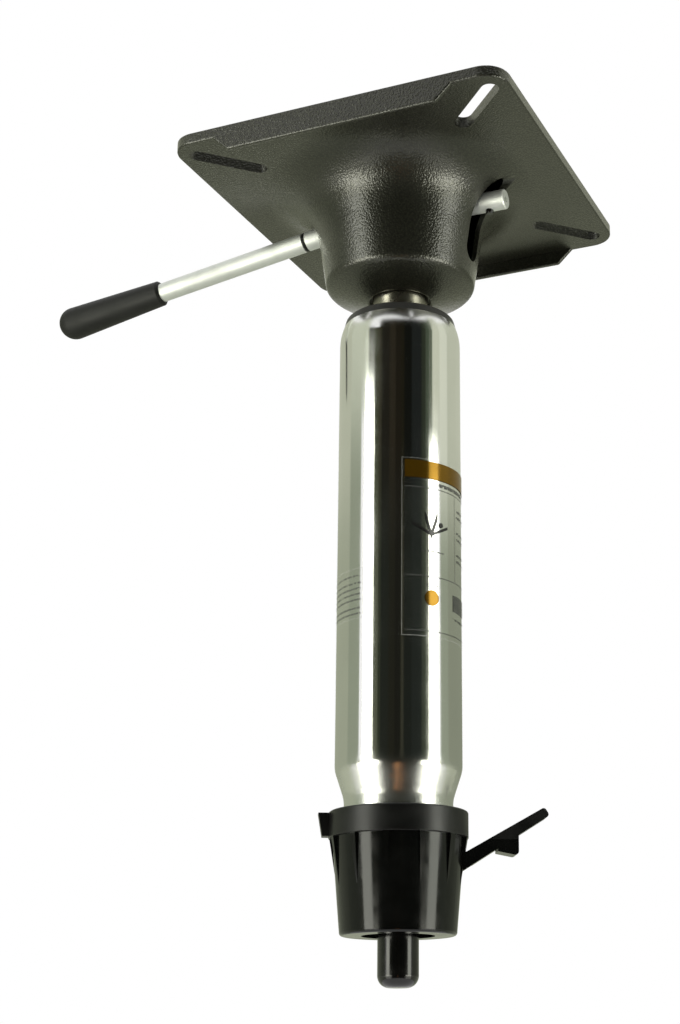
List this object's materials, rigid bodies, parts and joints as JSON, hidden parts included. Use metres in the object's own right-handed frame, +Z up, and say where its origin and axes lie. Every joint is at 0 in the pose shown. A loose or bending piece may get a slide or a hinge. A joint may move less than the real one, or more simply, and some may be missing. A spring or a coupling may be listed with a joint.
{
  "type": "boat seat pedestal",
  "caption": "Gas-lift boat seat pedestal with a pressed square seat plate, a release handle, a polished post and a taper plug with a lock lever.",
  "frame": {"origin": "on the post's axis, at the bottom face of the taper plug, where the centre pin leaves it", "axes": "+Z up the post to the seat plate; +X away from the handle, along one side of the square plate; +Y along the other side"},
  "size_m": [0.2929, 0.177, 0.4032],
  "materials": {
    "polished_post": "mirror-polished and clear anodised",
    "bronze_hammertone": "glossy dark bronze hammertone powder coat on pressed steel",
    "black_nylon": "moulded glossy black nylon",
    "dark_bushing": "moulded satin dark nylon",
    "white_acetal": "moulded satin white acetal",
    "black_steel": "glossy black coated steel",
    "plain_steel": "bright zinc-plated steel",
    "chromed_steel": "ground and hard-chromed steel",
    "bare_aluminium": "satin turned aluminium",
    "brass_cage": "turned brass",
    "black_rubber": "matt moulded rubber",
    "grip_rubber": "satin moulded grip rubber",
    "label_film": "clear printed film with an orange band and pale fields"
  },
  "bodies": {
    "post": {"post_tube": "polished_post", "top_cap": "dark_bushing", "guide_bushing": "white_acetal", "taper_plug": "black_nylon", "centre_pin": "black_steel", "end_block": "plain_steel", "rod_seat": "plain_steel", "bearing_washer_lower": "plain_steel", "lever_pin": "plain_steel", "lever_spring": "plain_steel", "main_label": "label_film", "side_label": "label_film"},
    "cage": {"bearing_balls": "chromed_steel", "bearing_cage": "brass_cage"},
    "rod": {"piston_rod": "chromed_steel", "rebound_spacer": "plain_steel", "piston": "bare_aluminium", "piston_seal": "black_rubber", "bearing_washer_upper": "plain_steel", "bump_stop": "black_rubber", "rod_clip": "plain_steel"},
    "seat": {"gas_cylinder": "chromed_steel", "rod_guide": "bare_aluminium", "valve_body": "brass_cage", "taper_hub": "bronze_hammertone", "seat_plate": "bronze_hammertone", "cover_plate": "bronze_hammertone"},
    "handle": {"handle_rod": "bare_aluminium", "handle_ring": "black_rubber", "tail_pin": "black_steel", "handle_grip": "grip_rubber"},
    "button": {"valve_button": "plain_steel"},
    "lever": {"lock_lever": "black_nylon"}
  },
  "joints": [
    {"name": "swivel", "type": "hinge", "parent": "post", "child": "rod", "pos_m": [0, 0, 0.0697], "axis": [0, 0, 1], "continuous": true},
    {"name": "cage_turn", "type": "hinge", "parent": "post", "child": "cage", "pos_m": [0, 0, 0.0681], "axis": [0, 0, 1], "continuous": true},
    {"name": "lift", "type": "slide", "parent": "rod", "child": "seat", "axis": [0, 0, 1], "range_m": [0, 0.1]},
    {"name": "release", "type": "hinge", "parent": "seat", "child": "handle", "pos_m": [-0.04499, 0, 0.3618], "axis": [0, 1, 0], "range_deg": [0, 5], "stiffness_Nm_per_rad": 1.5, "springref_deg": -5.73},
    {"name": "valve_press", "type": "slide", "parent": "seat", "child": "button", "axis": [0, 0, -1], "range_m": [0, 0.004]},
    {"name": "lock", "type": "hinge", "parent": "post", "child": "lever", "pos_m": [0.02143, 0.01188, 0.0305], "axis": [0.4848, -0.8746, 0], "range_deg": [0, 12], "stiffness_Nm_per_rad": 0.1, "springref_deg": -17.19}
  ],
  "couplings": [
    {"joint": "cage_turn", "follows": "swivel", "ratio": 0.5},
    {"joint": "valve_press", "follows": "release", "m_per_rad": 0.04499}
  ]
}
